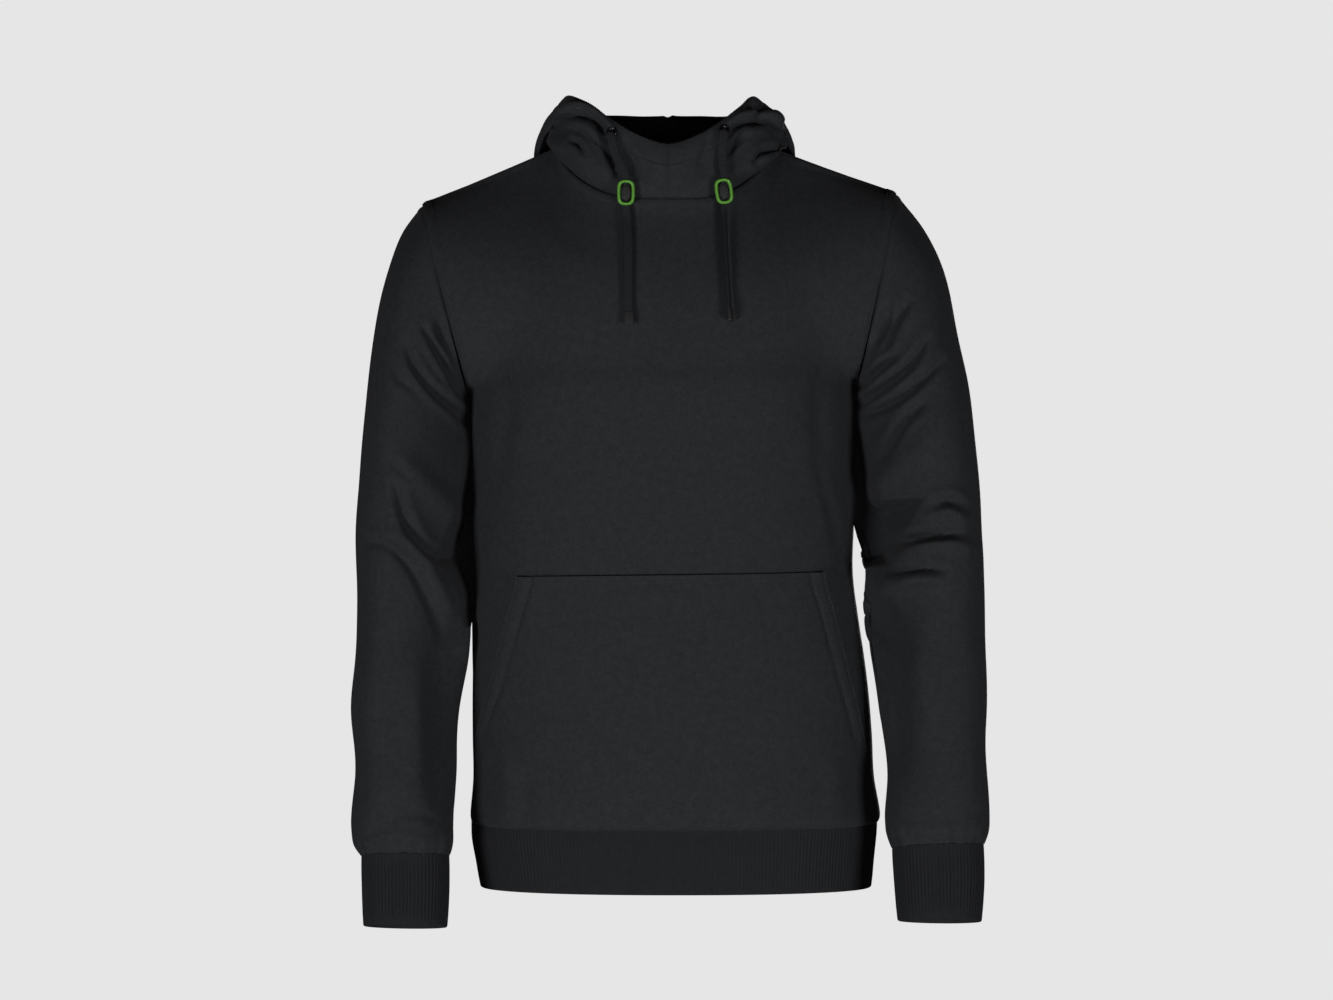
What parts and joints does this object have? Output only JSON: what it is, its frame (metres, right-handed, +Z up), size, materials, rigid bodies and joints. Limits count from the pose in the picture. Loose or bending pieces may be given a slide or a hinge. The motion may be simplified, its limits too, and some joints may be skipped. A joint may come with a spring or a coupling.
{
  "type": "pullover hoodie",
  "caption": "Pullover hoodie in its hollow worn form, with kangaroo pocket, rib cuffs and hem, hood down and a drawcord with locks.",
  "frame": {"origin": "midway between the two neck sides of the shoulder seams, on the wearer's shoulders", "axes": "+Z up, the front faces -Y, +X is towards the wearer's left"},
  "size_m": [0.5949, 0.2966, 0.7824],
  "materials": {
    "sweatshirt_knit": "brushed black sweatshirt knit",
    "rib_knit": "black rib knit",
    "cord_braid": "flat black braid",
    "green_plastic": "satin green plastic",
    "black_plastic": "satin black plastic",
    "dark_metal": "dark gunmetal"
  },
  "bodies": {
    "root": {"back_body": "sweatshirt_knit", "cord_lock_left": "green_plastic", "cord_lock_right": "green_plastic", "cord_tip_left": "black_plastic", "cord_tip_right": "black_plastic", "cuff_left": "rib_knit", "cuff_right": "rib_knit", "drawcord_left": "cord_braid", "drawcord_right": "cord_braid", "eyelet_left": "dark_metal", "eyelet_right": "dark_metal", "front_body": "sweatshirt_knit", "hem_band": "rib_knit", "hood_left": "sweatshirt_knit", "hood_right": "sweatshirt_knit", "lock_core_left": "black_plastic", "lock_core_right": "black_plastic", "pocket": "sweatshirt_knit", "sleeve_left": "sweatshirt_knit", "sleeve_right": "sweatshirt_knit"}
  },
  "joints": []
}
